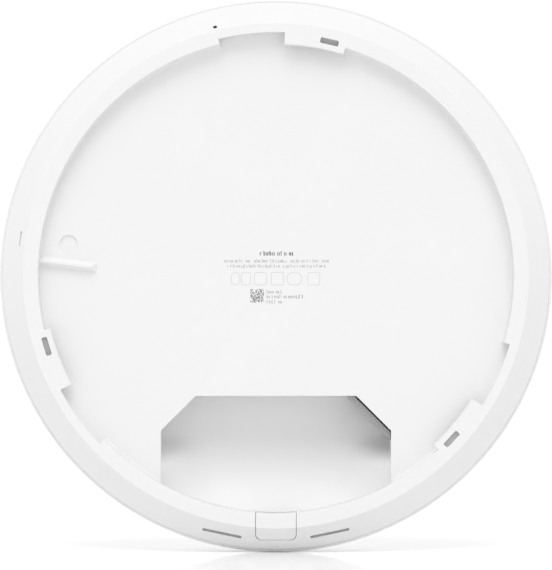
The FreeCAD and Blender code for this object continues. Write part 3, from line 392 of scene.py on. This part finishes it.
def film_object(name, outlines, material):
    """One closed film from many flat polygons. Each polygon is a list of (x, z) in millimetres,
    or a pair of such lists of the same length, outer and inner, for a frame."""
    mesh = bmesh.new()
    back = RECESS_FLOOR - FILM
    front = RECESS_FLOOR + FILM / 3

    def corner(point, y):
        return mesh.verts.new((point[0] * MM, y, point[1] * MM))

    for outline in outlines:
        rings = outline if isinstance(outline, tuple) else (outline,)
        near = [[corner(p, back) for p in ring] for ring in rings]
        far = [[corner(p, front) for p in ring] for ring in rings]
        count = len(rings[0])
        for i in range(count):
            j = (i + 1) % count
            for side in range(len(rings)):
                mesh.faces.new((near[side][i], near[side][j], far[side][j], far[side][i]))
            if len(rings) == 2:
                mesh.faces.new((near[0][i], near[0][j], near[1][j], near[1][i]))
                mesh.faces.new((far[0][i], far[0][j], far[1][j], far[1][i]))
        if len(rings) == 1:
            mesh.faces.new(near[0])
            mesh.faces.new(far[0])
    bmesh.ops.recalc_face_normals(mesh, faces=mesh.faces)
    data = bpy.data.meshes.new(name)
    mesh.to_mesh(data)
    mesh.free()
    film = bpy.data.objects.new(name, data)
    bpy.context.scene.collection.objects.link(film)
    data.materials.append(material)
    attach(film, "housing")
    return film


def box_outline(x0, z0, x1, z1):
    return [(x0, z0), (x1, z0), (x1, z1), (x0, z1)]


def round_outline(x, z, half_width, half_height, corner, steps=6):
    """A rectangle with round corners, as one list of points."""
    points = []
    for quarter in range(4):
        sx = (1, -1, -1, 1)[quarter]
        sz = (1, 1, -1, -1)[quarter]
        for step in range(steps + 1):
            angle = math.pi / 2 * (quarter + step / steps)
            points.append((
                x + sx * (half_width - corner) + corner * math.cos(angle),
                z + sz * (half_height - corner) + corner * math.sin(angle),
            ))
    return points


def row_of_blocks(rng, x0, x1, z, height, stroke):
    """Small separate bars and dashes that stand for a row of fine print."""
    blocks = []
    x = x0
    word = rng.randint(3, 8)
    while x < x1 - stroke:
        width = min(height * rng.uniform(0.42, 0.62), x1 - x)
        low = z - height / 2
        tall = rng.choice((0.72, 0.72, 1.0))
        blocks.append(box_outline(x, low, x + stroke, low + height * tall))
        if rng.random() < 0.6:
            blocks.append(box_outline(x + width - stroke, low, x + width, low + height * 0.72))
        if rng.random() < 0.7:
            level = low + height * rng.choice((0.0, 0.34, 0.6))
            blocks.append(box_outline(x + stroke * 1.4, level, x + width - stroke * 1.4, level + stroke))
        x += width + height * 0.2
        word -= 1
        if word == 0:
            x += height * 0.38
            word = rng.randint(3, 8)
    return blocks


def legend_dots(rng, x, z, side, count):
    """A square of small cells, filled at random."""
    cell = side / count
    dots = []
    for row in range(count):
        for column in range(count):
            if rng.random() < 0.5:
                x0 = x + column * cell
                z0 = z + row * cell
                dots.append(box_outline(x0, z0, x0 + cell * 0.96, z0 + cell * 0.96))
    return dots


def legend():
    """A dark row, two fine rows, a row of plain outlines, and a square of dots beside three short rows."""
    rng = random.Random(7)
    title = row_of_blocks(rng, -6.0, 6.3, 8.4, 1.7, 0.3)
    rows = []
    for x0, x1, z, height, stroke in FINE_ROWS:
        rows += row_of_blocks(rng, x0, x1, z, height, stroke)
    shapes = []
    for x, half_width, corner in SHAPES:
        outer = round_outline(x, SHAPES_LEVEL, half_width, SHAPES_HALF, corner)
        inner = round_outline(x, SHAPES_LEVEL, half_width - SHAPES_STROKE, SHAPES_HALF - SHAPES_STROKE,
                              corner - SHAPES_STROKE)
        shapes.append((outer, inner))
    dots = legend_dots(rng, -9.5, -9.9, 5.0, 14)
    film_object("legend_title", title, printed_ink("ink_dark", (0.16, 0.16, 0.165)))
    film_object("legend_rows", rows, printed_ink("ink_grey", (0.30, 0.30, 0.305)))
    film_object("legend_shapes", shapes, printed_ink("ink_pale", (0.60, 0.60, 0.605)))
    film_object("legend_dots", dots, printed_ink("ink_dots", (0.25, 0.25, 0.255)))


legend()


# Studio

def studio_floor():
    """A large flat floor at the object's lowest point."""
    low = CAD_BOX[0][2]
    half = FLOOR_SIZE / 2
    mesh = bmesh.new()
    corners = ((-half, -half), (half, -half), (half, half), (-half, half))
    mesh.faces.new([mesh.verts.new((x, y, low)) for x, y in corners])
    data = bpy.data.meshes.new("studio_floor")
    mesh.to_mesh(data)
    mesh.free()
    floor = bpy.data.objects.new("studio_floor", data)
    bpy.context.scene.collection.objects.link(floor)
    data.materials.append(floor_finish("studio_floor"))


def sky():
    """White light all round, a little brighter behind the object and darker overhead."""
    world = bpy.data.worlds.new("studio")
    bpy.context.scene.world = world
    world.use_nodes = True
    tree = world.node_tree
    tree.nodes.clear()
    place = tree.nodes.new("ShaderNodeTexCoord")
    split = tree.nodes.new("ShaderNodeSeparateXYZ")
    light = tree.nodes.new("ShaderNodeBackground")
    output = tree.nodes.new("ShaderNodeOutputWorld")
    total = tree.nodes.new("ShaderNodeMath")
    total.operation = "ADD"
    tree.links.new(place.outputs["Generated"], split.inputs["Vector"])
    ramps = (("Y", 0.0, 0.8, 0.0, SKY_BEHIND), ("Z", 0.0, 1.0, SKY_LEVEL, SKY_LEVEL - SKY_ZENITH))
    for i, (axis, start, end, low, high) in enumerate(ramps):
        ramp = tree.nodes.new("ShaderNodeMapRange")
        ramp.inputs["From Min"].default_value = start
        ramp.inputs["From Max"].default_value = end
        ramp.inputs["To Min"].default_value = low
        ramp.inputs["To Max"].default_value = high
        tree.links.new(split.outputs[axis], ramp.inputs["Value"])
        tree.links.new(ramp.outputs["Result"], total.inputs[i])
    tree.links.new(total.outputs["Value"], light.inputs["Strength"])
    tree.links.new(light.outputs["Background"], output.inputs["Surface"])
    light.inputs["Color"].default_value = (1, 1, 1, 1)


def key_light():
    """A very large, soft light above and behind the camera."""
    lamp_data = bpy.data.lights.new("key", "SUN")
    lamp_data.energy = KEY_STRENGTH
    lamp_data.angle = math.radians(KEY_SPREAD)
    key = bpy.data.objects.new("key", lamp_data)
    bpy.context.scene.collection.objects.link(key)
    up = math.radians(KEY_ELEVATION)
    side = math.radians(KEY_SIDE)
    towards = Vector((math.sin(side) * math.cos(up), -math.cos(side) * math.cos(up), math.sin(up)))
    key.rotation_mode = "QUATERNION"
    key.rotation_quaternion = towards.to_track_quat("Z", "Y")


def camera():
    data = bpy.data.cameras.new("camera")
    data.lens = CAMERA_LENS
    data.sensor_width = CAMERA_SENSOR
    data.sensor_height = CAMERA_SENSOR
    data.clip_start = 0.05
    data.clip_end = 200
    eye = bpy.data.objects.new("camera", data)
    eye.location = CAMERA_PLACE
    eye.rotation_euler = (math.pi / 2, 0, 0)
    bpy.context.scene.collection.objects.link(eye)
    bpy.context.scene.camera = eye


studio_floor()
sky()
key_light()
camera()
bpy.context.scene.view_settings.view_transform = "Standard"
